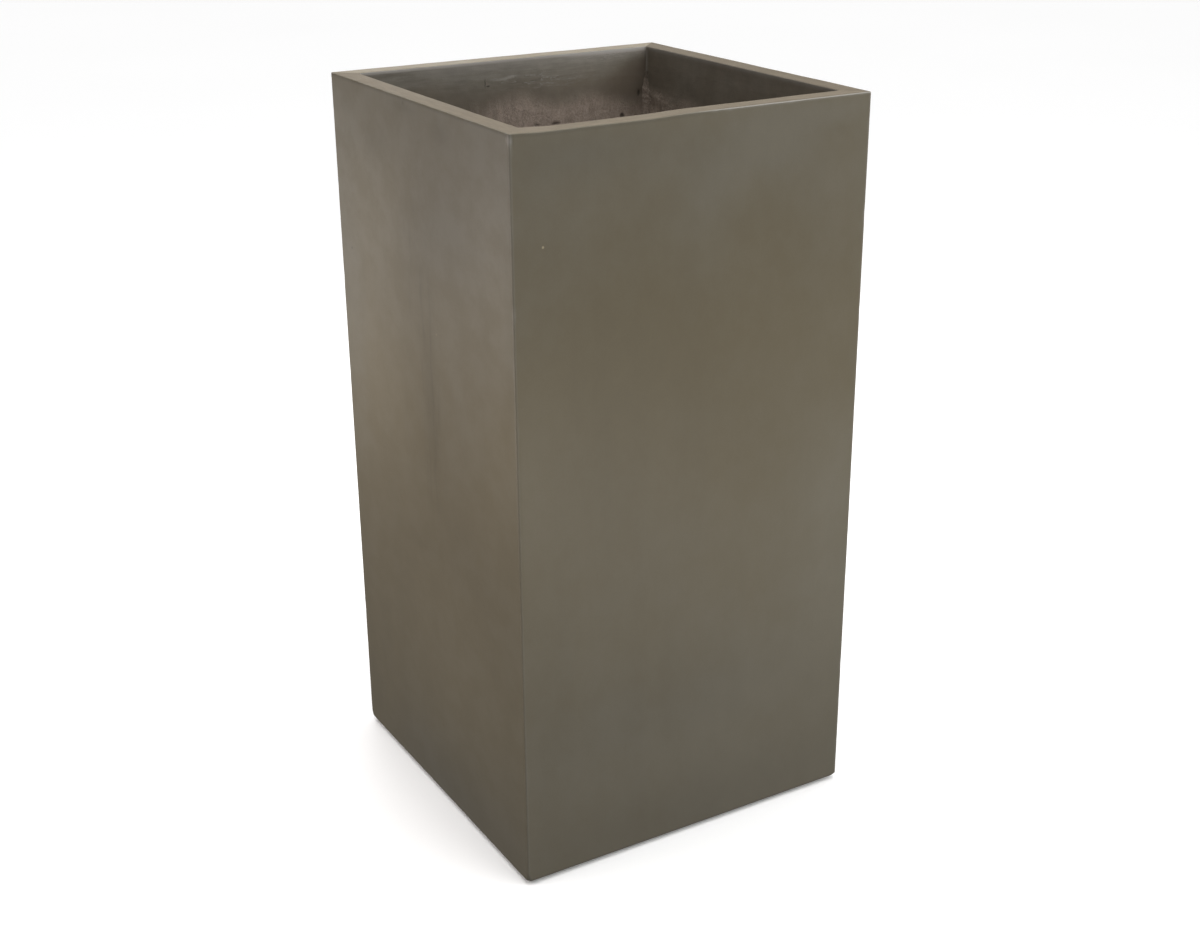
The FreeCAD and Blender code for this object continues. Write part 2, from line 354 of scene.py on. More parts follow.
def sealed_concrete():
    """Smooth sealed face: olive brown clouded with grey, faint upright streaks, paler edges. The grey and the
    brightness carry painted sheen and shade; the paler edges carry wear, painted light and a painted
    highlight, and dark lines of painted shade run under the rim.
    """
    material, tree, shader = new_material("sealed_concrete")
    where = place_coordinates(tree)
    broad = noise_value(tree, where, 3.1, 2.0, 0.5)
    cloud = noise_value(tree, where, 12.0, 5.0, 0.6)
    grain = noise_value(tree, where, 520.0, 3.0, 0.6)
    mottle = noise_value(tree, place_coordinates(tree, (1, 0.55, 0.7)), 46.0, 4.0, 0.65)
    streak = noise_value(tree, place_coordinates(tree, (1, 1, 0.1)), 26.0, 3.0, 0.55)
    fine_streak = noise_value(tree, place_coordinates(tree, (1, 1, 0.11)), 130.0, 4.0, 0.6)

    brown, grey = rgb(0.152, 0.126, 0.077), rgb(0.154, 0.137, 0.100)
    # The grey share carries painted sheen, graded by height and in clouds; the noise adds the concrete's own
    # clouding
    share = maths(tree, "ADD", attribute(tree, "grey"), remap(tree, broad, 0.3, 0.7, -0.05, 0.05))
    share = maths(tree, "ADD", share, remap(tree, cloud, 0.3, 0.7, -0.15, 0.15))
    uneven = maths(tree, "MULTIPLY", remap(tree, mottle, 0.38, 0.62, -1, 1), attribute(tree, "blotchy"))
    share = maths(tree, "ADD", share, remap(tree, uneven, -1.5, 1.5, -0.33, 0.33))
    colour = mix_colour(tree, share, brown, grey)
    # Brightness from the clouds: painted sheen and shade, and blotches
    colour = scale_colour(tree, colour, attribute(tree, "tone"))
    colour = varied(tree, colour, cloud, 0.2, 0.975, 1.025)
    colour = scale_colour(tree, colour, remap(tree, uneven, -1.5, 1.5, 0.925, 1.075))
    colour = varied(tree, colour, streak, 0.2, 0.98, 1.02)
    colour = varied(tree, colour, grain, 0.25, 0.97, 1.03)
    drip = maths(tree, "MULTIPLY", remap(tree, fine_streak, 0.5, 0.68), attribute(tree, "streaky"))
    colour = darkened(tree, colour, drip, 0.78)
    for centre, radius, brightness in SPECKS:
        away = add(tree, "VectorMath", {0: where, 1: centre}, operation="DISTANCE").outputs["Value"]
        colour = scale_colour(tree, colour, remap(tree, away, radius * 0.4, radius, brightness, 1.0))
    # Painted shade under the rim's outer edge
    colour = darkened(tree, colour, attribute(tree, "painted_edge_shade"), EDGE_SHADE_TONE)
    # Paler edges: wear, painted light and a painted highlight
    colour = mix_colour(tree, attribute(tree, "wear_and_highlight"), colour, rgb(0.38, 0.37, 0.35))
    tree.links.new(colour, shader.inputs["Base Color"])

    gloss = remap(tree, cloud, 0.3, 0.7, 0.42, 0.49)
    dulled = remap(tree, attribute(tree, "edge"), 0, 1, 0, 0.15)
    tree.links.new(maths(tree, "ADD", gloss, dulled), shader.inputs["Roughness"])
    soft = bump(tree, cloud, 0.0012, 0.3)
    tree.links.new(bump(tree, grain, 0.00005, 0.4, soft), shader.inputs["Normal"])
    return material


def rim_concrete():
    """Brushed rim: pale tan, unsealed, with fine drag marks along it, painted light that differs from side to
    side, a painted sheen on the back and painted shade lines along the outer edge.
    """
    material, tree, shader = new_material("rim_concrete")
    where = place_coordinates(tree)
    cloud = noise_value(tree, where, 24.0, 4.0, 0.6)
    grain = noise_value(tree, where, 700.0, 3.0, 0.65)
    along_x = noise_value(tree, place_coordinates(tree, (0.15, 1, 1)), 240.0, 3.0, 0.6)
    along_y = noise_value(tree, place_coordinates(tree, (1, 0.15, 1)), 240.0, 3.0, 0.6)
    drag = add(tree, "Mix", {0: attribute(tree, "runs_along_y"), 2: along_x, 3: along_y}).outputs[0]

    colour = two_tone(tree, cloud, 0.15, (0.188, 0.154, 0.108), (0.207, 0.173, 0.127))
    # Painted light: the rim brighter or darker on each side
    colour = scale_colour(tree, colour, attribute(tree, "tone"))
    # Painted sheen: the back rim paler and bluer
    colour = mix_colour(tree, attribute(tree, "back_rim_sheen"), colour, rgb(1.02, 1.08, 1.16), "MULTIPLY")
    # Painted shade lines beside the rim's outer edge
    colour = darkened(tree, colour, attribute(tree, "painted_edge_shade"), EDGE_SHADE_TONE)
    colour = varied(tree, colour, drag, 0.15, 0.92, 1.07)
    colour = varied(tree, colour, grain, 0.25, 0.92, 1.08)
    tree.links.new(colour, shader.inputs["Base Color"])
    shader.inputs["Roughness"].default_value = 0.82
    shader.inputs["Specular IOR Level"].default_value = 0.3
    tree.links.new(bump(tree, drag, 0.0004, 0.5, bump(tree, grain, 0.0001, 0.5)), shader.inputs["Normal"])
    return material


def inside_concrete():
    """Inside of the walls: a grey trowelled band below the rim that turns brown, then sandy, with depth, and
    painted light: highlights on the ledge, the ridges and under the rim, shadows along the ridges, in the
    pits and across the back wall's corner, and brightness graded along the walls.
    """
    material, tree, shader = new_material("inside_concrete")
    where = place_coordinates(tree)
    coarse = attribute(tree, "coarse")
    cloud = noise_value(tree, where, 17.0, 4.0, 0.6)
    blot = noise_value(tree, where, 60.0, 4.0, 0.65)
    sand = noise_value(tree, where, 420.0, 4.0, 0.7)
    trowel = noise_value(tree, place_coordinates(tree, (0.12, 0.12, 1)), 260.0, 4.0, 0.6)
    folds = noise_value(tree, place_coordinates(tree, (0.14, 0.14, 1)), 210.0, 3.0, 0.6)
    pour = noise_value(tree, place_coordinates(tree, (1, 1, 0.35)), 120.0, 4.0, 0.65)

    band = two_tone(tree, trowel, 0.15, (0.158, 0.143, 0.115), (0.204, 0.187, 0.155))
    bare = two_tone(tree, cloud, 0.15, (0.132, 0.111, 0.083), (0.153, 0.132, 0.103))
    sandy = two_tone(tree, sand, 0.15, (0.244, 0.195, 0.157), (0.323, 0.265, 0.220))
    sandy = varied(tree, sandy, pour, 0.15, 0.86, 1.16)
    colour = mix_colour(tree, attribute(tree, "brown"), band, bare)
    colour = varied(tree, colour, blot, 0.2, 0.92, 1.08)
    colour = mix_colour(tree, coarse, colour, sandy)
    # Painted highlight on the lit top edge of the ledge
    colour = mix_colour(tree, attribute(tree, "ledge"), colour, rgb(0.275, 0.258, 0.230))
    # Painted highlight and painted shadow along the trowel ridges: a pale line with a dark line beside it
    wrinkle = attribute(tree, "wrinkle")
    for level, painted_ridge_colour in ((0.5, (0.300, 0.285, 0.260)), (0.455, (0.090, 0.080, 0.066))):
        off_level = maths(tree, "ABSOLUTE", maths(tree, "SUBTRACT", folds, level), 0.0)
        painted_ridge_line = maths(tree, "MULTIPLY", remap(tree, off_level, 0.0, 0.03, 1.0, 0.0), wrinkle)
        colour = mix_colour(tree, painted_ridge_line, colour, rgb(*painted_ridge_colour))
    # Painted shadow near the back wall's corner
    colour = mix_colour(tree, attribute(tree, "painted_shadow"), colour, rgb(0.098, 0.075, 0.054))
    # Painted light: brightness graded along the back wall, and the right wall lifted
    colour = scale_colour(tree, colour, attribute(tree, "shade"))
    # Painted highlight under the rim's inner edge
    colour = mix_colour(tree, attribute(tree, "painted_highlight"), colour, rgb(0.400, 0.378, 0.348))
    warp = add(tree, "TexNoise", {"Vector": where, "Scale": 330.0, "Detail": 2.0}).outputs["Color"]
    warped = {0: warp, 1: (PIT_WARP,) * 3, 2: where}
    shifted = add(tree, "VectorMath", warped, operation="MULTIPLY_ADD").outputs[0]
    # Dark marks: painted shade in the seen pits, and the scratch's own darkness
    for from_corner, drop, half_width, half_height, darkest in SEEN_PITS + SCRATCH:
        centre = (INNER_HALF - from_corner + PIT_WARP / 2, INNER_HALF, RIM - drop + PIT_WARP / 2)
        size = (half_width, 0.02, half_height)
        inputs = {"Vector": shifted, "Location": centre, "Scale": size}
        local = add(tree, "Mapping", inputs, vector_type="TEXTURE").outputs["Vector"]
        away = add(tree, "VectorMath", {0: local}, operation="LENGTH").outputs["Value"]
        colour = scale_colour(tree, colour, remap(tree, away, 0.6, 1.25, darkest, 1.0))
    # Painted shade in all the pits
    colour = darkened(tree, colour, attribute(tree, "pit"), 0.5)
    tree.links.new(colour, shader.inputs["Base Color"])

    tree.links.new(remap(tree, attribute(tree, "raw"), 0, 1, 0.6, 0.9), shader.inputs["Roughness"])
    shader.inputs["Specular IOR Level"].default_value = 0.35
    ridges = bump(tree, trowel, 0.0006, 0.3)
    grit = bump(tree, maths(tree, "MULTIPLY", sand, maths(tree, "ADD", coarse, 0.12)), 0.0012, 0.8, ridges)
    tree.links.new(grit, shader.inputs["Normal"])
    return material


def mortar():
    """Coarse pressed mortar: pinkish brown with pale sand grains and dark voids."""
    material, tree, shader = new_material("mortar")
    where = place_coordinates(tree)
    blot = noise_value(tree, where, 90.0, 4.0, 0.7)
    sand = noise_value(tree, where, 480.0, 4.0, 0.7)
    colour = two_tone(tree, sand, 0.17, (0.236, 0.187, 0.151), (0.445, 0.371, 0.308))
    colour = mix_colour(tree, attribute(tree, "smeared"), colour, rgb(0.190, 0.158, 0.123))
    colour = varied(tree, colour, blot, 0.2, 0.75, 1.15)
    tree.links.new(colour, shader.inputs["Base Color"])
    shader.inputs["Roughness"].default_value = 0.93
    shader.inputs["Specular IOR Level"].default_value = 0.25
    tree.links.new(bump(tree, sand, 0.0015, 0.9, bump(tree, blot, 0.004, 0.5)), shader.inputs["Normal"])
    return material


def raw_concrete():
    """Cast base: grey brown, trowelled, with stains and grit."""
    material, tree, shader = new_material("raw_concrete")
    where = place_coordinates(tree)
    cloud = noise_value(tree, where, 14.0, 5.0, 0.6)
    sand = noise_value(tree, where, 380.0, 4.0, 0.65)
    colour = two_tone(tree, cloud, 0.15, (0.160, 0.135, 0.105), (0.230, 0.205, 0.170))
    colour = varied(tree, colour, sand, 0.2, 0.88, 1.1)
    tree.links.new(colour, shader.inputs["Base Color"])
    shader.inputs["Roughness"].default_value = 0.85
    tree.links.new(bump(tree, sand, 0.0007, 0.7, bump(tree, cloud, 0.003, 0.4)), shader.inputs["Normal"])
    return material


def moulded_rubber(name, colour):
    """Matt moulded rubber with a dusty bloom."""
    material, tree, shader = new_material(name)
    where = place_coordinates(tree)
    dust = noise_value(tree, where, 55.0, 4.0, 0.6)
    pores = noise_value(tree, where, 900.0, 2.0, 0.5)
    dusty = rgb(*(0.035 + channel for channel in colour))
    shown = mix_colour(tree, remap(tree, dust, 0.45, 0.75), rgb(*colour), dusty)
    tree.links.new(shown, shader.inputs["Base Color"])
    tree.links.new(remap(tree, dust, 0.3, 0.7, 0.55, 0.75), shader.inputs["Roughness"])
    tree.links.new(bump(tree, pores, 0.0001, 0.4), shader.inputs["Normal"])
    return material


# Walls
def wall_outline():
    """The wall's section, round from the lower outside edge: depth from the outside face, and height.

    With it comes the material of the stretch after each point: 0 sealed, 1 rim, 2 inside."""
    quarter = np.linspace(0, math.pi / 2, ARC_STEPS + 1)
    points, zones = [], []

    def run(depths, heights, zone):
        depths, heights = np.broadcast_arrays(depths, heights)
        points.extend(zip(depths, heights))
        zones.extend([zone] * len(depths))

    run(LOWER_ROUND * (1 - np.sin(quarter)), UNDERSIDE + LOWER_ROUND * (1 - np.cos(quarter)), 0)
    run(0.0, graded(UNDERSIDE + LOWER_ROUND, RIM - RIM_ROUND, FINE_ROW, COARSE_ROW)[1:-1], 0)
    run(RIM_ROUND * (1 - np.cos(quarter)), RIM - RIM_ROUND * (1 - np.sin(quarter)), 0)
    zones[-2:] = [1, 1]
    run(np.linspace(RIM_ROUND, WALL - RIM_ROUND, 12)[1:-1], RIM, 1)
    run(WALL - RIM_ROUND * (1 - np.sin(quarter)), RIM - RIM_ROUND * (1 - np.cos(quarter)), 1)
    zones[-3:] = [2, 2, 2]
    fine_end = RIM - FINE_DEPTH
    run(WALL, np.arange(RIM - RIM_ROUND - FINE_ROW, fine_end, -FINE_ROW), 2)
    run(WALL, graded(fine_end, BASE_TOP, 2 * FINE_ROW, COARSE_ROW), 2)
    run((HALF - BASE_HALF,) * 2, (BASE_TOP, UNDERSIDE), 0)
    return np.array(points), np.array(zones)


def wall_stations():
    """Shares of the flat stretch along the wall, and turns round its rounded upright edges."""
    flat = graded(-1, 1, FINE_STATION / HALF, STATION / HALF)
    turns = np.linspace(0, math.pi / 4, ARC_STEPS)[1:]
    shares = np.concatenate([-np.ones(len(turns)), flat, np.ones(len(turns))])
    angles = np.concatenate([-turns[::-1], np.zeros(len(flat)), turns])
    return shares[:, None], angles[:, None]


def wall_pits(side):
    """Pits in the raw inside of a wall: along it, height, half width, half height and depth share."""
    draw = random.Random(f"pits {side}")
    pits = []
    for _ in range(PITS_PER_WALL):
        height = draw.uniform(BASE_TOP + 0.02, RIM - 0.095)
        along = draw.uniform(-INNER_HALF, INNER_HALF) * 0.94
        pits.append((along, height, draw.uniform(*PIT_RADIUS), draw.uniform(*PIT_RADIUS), 1.0))
    if side == "back":
        for from_corner, drop, half_width, half_height, _ in SEEN_PITS:
            along = from_corner - INNER_HALF
            pits.append((along, RIM - drop, half_width, half_height, SEEN_PIT_DEPTH_SHARE))
    return pits


def face_finish(side, along, height, on_rim):
    """Grey, brightness, mottling and drips of a sealed face, with clouds on the two sides in view; the grey
    and brightness carry painted sheen and shade.
    """
    look = "left" if side == "left" else "front"
    # painted sheen: the faces greyed by height
    grey = np.interp(height, GREY_HEIGHTS, SHEEN_GREY_SHARES[look])
    tone = np.ones(along.shape)
    # The clouds add painted sheen and shade, and blotches
    for centre_along, centre_up, reach_along, reach_up, more_grey_and_sheen, more_tone_and_light in PAINTED_LIGHT_AND_CLOUDS.get(side, ()):
        cloud = blob(along, height, (centre_along, centre_up), (reach_along, reach_up))
        grey = grey + more_grey_and_sheen * cloud
        tone = tone + more_tone_and_light * cloud
    drips = blob(along, height, (0.012, 0.49), (0.022, 0.11))
    drips = drips + 0.6 * blob(along, height, (-0.015, 0.63), (0.02, 0.07))
    # Painted light: the rim's brightness set side by side
    tone = np.where(on_rim, RIM_PAINTED_LIGHT[side], tone)
    mottling_low, mottling_high = MOTTLING[look]
    blotchy = mottling_low + (mottling_high - mottling_low) * smooth_step(0.45, 0.70, height)
    return {"grey": grey, "tone": tone, "blotchy": blotchy, "streaky": drips * (side == "left")}


def inside_finish(side, rest, below_rim, to_corner, on_inside):
    """How the inside of a wall changes below the rim: a ragged ledge, brown and coarse areas, and painted
    light: a painted shadow across the back wall's corner, brightness graded along the walls, and highlights
    below the rim and along the ledge.
    """
    at_back, at_right = side == "back", side == "right"
    from_flare = 2 * INNER_HALF - to_corner
    wander = noise_at(rest, 15.0, 13.0)
    runs = noise_at(rest * (1, 1, 0.15), 140.0, 25.0)
    line = LEDGE_DEPTH + 0.011 * smooth_step(0.155, 0.09, to_corner) * at_back
    ragged = 0.0022 * noise_at(rest, 13.0, 7.0) + 0.0032 * noise_at(rest, 85.0, 9.0)
    below_ledge = below_rim - line - ragged
    patchy = np.clip(1.6 * noise_at(rest, 9.0, 11.0), -0.6, 1)
    broken = smooth_step(-0.25, 0.25, noise_at(rest, 48.0, 15.0))
    if at_back:
        broken = broken * smooth_step(0.095, 0.125, to_corner) * smooth_step(0.215, 0.19, to_corner)
    else:
        broken = broken * smooth_step(0.1, 0.6, patchy) * (not at_right)
    flare = smooth_step(0.090, 0.03, from_flare) * smooth_step(0.038, 0.056, below_rim + 0.006 * wander)
    flare = flare * (0.5 + 0.25 * smooth_step(0.06, 0.03, from_flare))
    higher = 0.013 * smooth_step(0.11, 0.17, to_corner) * at_back
    sandy = smooth_step(0.046, 0.070, below_rim + higher + 0.012 * wander)
    # Painted light: the right wall lifted, more so away from the back corner
    shade = 1.17 + 0.16 * smooth_step(0.05, 0.30, from_flare) if at_right else np.ones(below_rim.shape)
    # Painted highlight: a pale band just under the rim on the right wall, and a pale line up the top of the
    # corner
    corner_line = 0.22 * smooth_step(0.006, 0.002, from_flare) * smooth_step(0.05, 0.03, below_rim)
    painted_highlight = at_right * np.maximum(0.25 * smooth_step(0.006, 0.002, below_rim), corner_line)
    painted_shadow = np.zeros(below_rim.shape)
    wrinkle = np.zeros(below_rim.shape)
    brown = smooth_step(0.014, 0.042, below_rim + 0.012 * wander)
    if at_back:
        # Painted shadow of the right wall across the back wall: it falls below this slanting line near the
        # corner, darkened and browned
        below_shadow_line = below_rim - 0.45 * to_corner + 0.004 * wander
        brown = np.maximum(brown, smooth_step(-0.012, 0.012, below_shadow_line) * smooth_step(0.15, 0.09, to_corner))
        sandy = sandy * np.maximum(
            smooth_step(0.245, 0.175, to_corner + 0.02 * wander + 0.03 * runs),
            smooth_step(0.075, 0.15, below_rim + 0.02 * wander),
        )
        # Painted light: the back wall brighter towards its right corner
        shade = 0.81 + 0.35 * smooth_step(0.26, 0.03, to_corner)
        # Painted highlight just under the rim's inner edge, stronger near the corner, with a silvery band
        # below it
        near_corner = smooth_step(0.16, 0.06, to_corner)
        painted_highlight = smooth_step(0.0045, 0.002, below_rim - 0.0012 * near_corner) * (0.7 + 0.3 * near_corner)
        band_highlight = 0.24 * smooth_step(0.016, 0.004, below_rim) * smooth_step(0.32, 0.24, to_corner)
        painted_highlight = np.maximum(painted_highlight, band_highlight)
        # painted shadow near the corner, below the slanting line
        painted_shadow = 0.57 * smooth_step(0.0, 0.02, below_shadow_line)
        painted_shadow = painted_shadow * smooth_step(0.11, 0.01, to_corner) * smooth_step(0.085, 0.05, below_rim)
        wrinkle = blob(to_corner, below_rim, (0.14, 0.026), (0.05, 0.008))
        wrinkle = 0.55 * wrinkle + 0.45 * blob(to_corner, below_rim, (0.05, 0.006), (0.045, 0.006))
    raw = smooth_step(-0.0008, 0.0008, below_ledge)
    soft_raw = 0.6 * smooth_step(-0.014, 0.014, below_ledge)
    marks = {
        # painted highlight along the ledge's top edge
        "ledge": 0.5 * smooth_step(0.0015, 0.0004, np.abs(below_ledge)) * broken,
        "brown": np.ones(below_rim.shape) if at_right else brown,
        "coarse": np.maximum(flare, sandy), "flare": flare,
        "proud": soft_raw + (raw - soft_raw) * broken * (0.45 + 0.55 * patchy),
        "raw": raw, "painted_shadow": painted_shadow, "painted_highlight": painted_highlight, "shade": shade, "wrinkle": wrinkle,
    }
    return {key: value * on_inside for key, value in marks.items()}


def chip_corner(points):
    """Points beyond a slanting plane that knocks off the lower front right corner are brought back to it."""
    corner = np.array((HALF, -HALF, UNDERSIDE))
    outwards = np.array(CHIP_FACING) / np.linalg.norm(CHIP_FACING)
    beyond = (points - corner) @ outwards + CHIP_SIZE + CHIP_ROUGHNESS * noise_at(points, 260.0, 31.0)
    return points - np.clip(beyond, 0, None)[..., None] * outwards


def wall_piece(side, materials):
    """One wall with its chipped and nicked edges, waves, trowelled rim band, raw ledge and pits, as a closed
    mesh.
    """
    outline, zones = wall_outline()
    share, angle = wall_stations()
    depth = np.repeat(outline[None, :, 0], len(share), 0)
    height = np.repeat(outline[None, :, 1], len(share), 0)
    on_outside = depth < WALL / 2
    on_inside = depth > WALL - 2 * RIM_ROUND

    # Plan of the rounded upright edges, softer towards the floor, and of the coved inside corners
    upright = UPRIGHT_ROUND_LOW + (UPRIGHT_ROUND_TOP - UPRIGHT_ROUND_LOW) * smooth_step(0.0, 0.3, height)
    whole_end = share * CHIPPED_ENDS.get(side, 0) <= 0
    upright += FOOT_ROUND * smooth_step(UNDERSIDE + FOOT_ROUND_RISE, UNDERSIDE, height) * whole_end
    outside_along = share * (HALF - upright) + upright * np.sin(angle)
    corner_depth = upright * (1 - np.cos(angle))
    depth = corner_depth + depth * (1 - corner_depth / WALL)
    mitre_depth = MITRE_SHARE * upright
    along_share = outside_along / (HALF - mitre_depth)
    into_cove = np.clip(INNER_ROUND * (1 - MITRE_SHARE) - (1 - np.abs(along_share)) * INNER_HALF, 0, None)
    cove = INNER_ROUND - np.sqrt(INNER_ROUND ** 2 - into_cove ** 2)
    depth += cove * smooth_step(WALL * 0.6, WALL - RIM_ROUND, depth)

    def placed(inward, lift):
        new_depth = depth + inward
        along = along_share * (HALF - np.maximum(new_depth, mitre_depth + inward * on_outside))
        return about_z(np.stack([along, new_depth - HALF, height + lift], -1), SIDES.index(side))

    rest = placed(0.0, 0.0)
    along = along_share * HALF

    # Outside: gentle waves, and small nicks along the edges
    below_rim = RIM - height
    from_upright = (1 - np.abs(share)) * HALF
    from_edge = np.minimum(np.minimum(from_upright, below_rim + depth), height - UNDERSIDE + depth)
    near_edge = on_outside * smooth_step(0.003, 0.0005, from_edge)
    wave = OUTER_WAVE * (0.5 + 0.4 * noise_at(rest, 7.0) + 0.1 * noise_at(rest, 31.0, 5.0))
    nick = near_edge * smooth_step(0.3, 0.7, noise_at(rest, 110.0, 3.0))
    near_end = along * NEAR_ENDS.get(side, 0) > 0
    top_chip = on_outside * smooth_step(0.0025, 0.001, np.abs(from_upright + depth)) * near_end
    top_chip = top_chip * blob(0, below_rim, (0, 0.0065), (1, 0.004))
    inward = on_outside * (wave + NICK_DEPTH * nick + TOP_CHIP_DEPTH * top_chip)
    # The rim's outer edge, where a painted highlight runs on the front's right half
    rim_edge_highlight = on_outside * smooth_step(RIM_ROUND * 1.15, RIM_ROUND * 0.6, below_rim)
    lit_part = smooth_step(-0.03, 0.04, along) * (side == "front")
    painted_lift_upright = on_outside * smooth_step(0.0015, 0.0, from_upright)
    wear_and_lift = EDGE_WEAR_AND_LIFT * (0.55 + 0.45 * smooth_step(0.2, 0.55, height))
    # Paler edges: wear at the nicks and the top chip, painted light lifting the upright edges where they get
    # less light than the faces, and a painted highlight along the outer edge of the front rim's right half
    wear_and_highlight = np.clip(wear_and_lift * (nick + painted_lift_upright) + 0.3 * top_chip + 0.55 * rim_edge_highlight * lit_part, 0, 1)
    # Painted shade: dark lines beside the rim's outer edge, on the face just under it and, on the front's
    # right half, on the rim just behind its painted highlight
    under_rim = smooth_step(0.0012, 0.0004, np.abs(below_rim - 1.6 * RIM_ROUND)) * (depth < RIM_ROUND)
    behind_line = smooth_step(0.0012, 0.0004, np.abs(depth - 2.2 * RIM_ROUND)) * (below_rim < RIM_ROUND)
    painted_edge_shade = under_rim * (1 - lit_part) + 0.9 * behind_line * lit_part

    # Inside: a thin raw layer starts at a ragged ledge below the rim and grows brown, then coarse, with depth
    inside = inside_finish(side, rest, below_rim, INNER_HALF * (1 + along_share), on_inside)
    lumps = noise_at(rest, 60.0, 17.0) + 0.7 * noise_at(rest, 190.0, 19.0)
    grit = GRIT * inside["raw"] * (0.25 + 0.75 * inside["coarse"]) * lumps
    pit = np.zeros(depth.shape)
    for pit_along, pit_height, half_width, half_height, strength in wall_pits(side):
        sideways = (along_share * INNER_HALF - pit_along) / half_width
        away = np.hypot(sideways, (height - pit_height) / half_height)
        pit = np.maximum(pit, strength * on_inside * smooth_step(1.3, 0.5, away + 0.45 * lumps))
    proud = LEDGE_PROUD * inside.pop("proud") + FLARE_PROUD * inside.pop("flare") * (0.6 + 0.6 * lumps)
    inward = inward + on_inside * (INNER_WAVE * noise_at(rest, 9.0, 21.0) + proud + grit - PIT_DEPTH * pit)

    # Rim: slightly uneven, and lower along the near half of the front
    near_rim = smooth_step(0.012, 0.001, below_rim)
    sag = smooth_step(0.0, -0.06, along) * smooth_step(-0.198, -0.165, along) * (side == "front")
    lift = -near_rim * (RIM_WAVE * (0.5 + 0.5 * noise_at(rest, 24.0, 23.0)) + RIM_SAG * sag)
    points = chip_corner(placed(inward, lift))
    on_rim = (below_rim < RIM_ROUND) & (depth > RIM_ROUND * 0.3) & (depth < WALL - RIM_ROUND * 0.3)
    attributes = {**inside, **face_finish(side, along, height, on_rim)}
    attributes |= {"pit": pit, "wear_and_highlight": wear_and_highlight, "edge": near_edge, "painted_edge_shade": painted_edge_shade}
    attributes["runs_along_y"] = np.full(depth.shape, SIDES.index(side) % 2)
    # painted sheen on the back rim
    attributes["back_rim_sheen"] = np.full(depth.shape, side == "back")
    slots = np.concatenate([np.tile(zones, len(share) - 1), (0, 0)]).astype(np.int32)
    faces = ring_faces(len(share), len(outline))
    piece = mesh_piece(f"wall_{side}_cast", points, faces, materials, slots, attributes)
    dress(piece, f"wall_{side}", "planter")


# Mortar in the inside corners and round the base
def mortar_strip(name, marks, legs, smeared, to_frame, finish):
    """A lumpy coved strip along an inside corner: its two legs lie on the faces that meet there.

    Where it is smeared it takes the brown of the wall."""
    turns = np.linspace(0, 1, STRIP_STEPS)[None, :]
    leg = legs[:, None]
    hollow = COVE * leg * np.sin(math.pi * turns)
    corner = np.zeros((len(marks), 1))
    first = np.concatenate([corner, NARROW_LEG * leg * (1 - turns) - NARROW_LEG * hollow], 1)
    second = np.concatenate([corner, leg * turns - hollow], 1)
    along = np.repeat(marks[:, None], STRIP_STEPS + 1, 1)
    rest = to_frame(along, first, second)
    lumps = LUMP * (noise_at(rest, 80.0, 37.0) + 0.5 * noise_at(rest, 240.0, 41.0))
    lumps[:, 0] = 0
    first = np.clip(first + lumps * (first > 0), 0, None)
    second = np.clip(second + lumps * (second > 0), 0, None)
    attributes = {"smeared": np.repeat(smeared[:, None], STRIP_STEPS + 1, 1)}
    faces = ring_faces(len(marks), STRIP_STEPS + 1)
    return mesh_piece(name, to_frame(along, first, second), faces, [finish], attributes=attributes)


def corner_strip(corner, finish):
    """The strip in an upright corner: it begins narrow below the rim band and widens downwards."""
    turn = CORNERS.index(corner)

    def to_frame(heights, on_first, on_second):
        return about_z(np.stack([INNER_HALF - on_first, INNER_HALF - on_second, heights], -1), turn)

    full_leg = strip_high.x - strip_low.x
    marks = np.concatenate([
        np.arange(strip_high.z, RIM - FINE_DEPTH, -FINE_ROW),
        graded(RIM - FINE_DEPTH, strip_low.z, 2 * FINE_ROW, COARSE_ROW),
    ])
    line = about_z([[INNER_HALF, INNER_HALF, mark] for mark in marks], turn)
    wander = noise_at(line, 55.0, 43.0)
    fray = noise_at(line, 260.0, 45.0)
    from_top = strip_high.z - marks
    legs = full_leg * (0.5 + 0.4 * smooth_step(0, 0.026, from_top)) * (1 + 0.10 * wander + 0.07 * fray)
    smeared = smooth_step(0.028, 0.0, from_top + 0.006 * wander)
    legs = np.minimum(legs, full_leg)
    piece = mortar_strip(f"corner_mortar_{corner}", marks, legs, smeared, to_frame, finish)
    dress(piece, f"corner_fillet_{corner}", "planter")


def base_bead(side, finish):
    """The bead between a wall and the base slab, mitred at its ends."""
    turn = SIDES.index(side)

    def to_frame(shares, from_wall, above_base):
        along = shares * (INNER_HALF - from_wall)
        return about_z(np.stack([along, from_wall - INNER_HALF, BASE_TOP + above_base], -1), turn)

    full_leg = bead_high.z - bead_low.z
    marks = np.linspace(-1, 1, 100)
    line = about_z([[mark * INNER_HALF, -INNER_HALF, 0] for mark in marks], turn)
    wander = noise_at(line, 40.0, 47.0)
    legs = full_leg * (0.85 + 0.15 * wander)
    piece = mortar_strip(f"base_mortar_{side}", marks, legs, np.zeros(len(marks)), to_frame, finish)
    dress(piece, f"base_fillet_{side}", "planter")


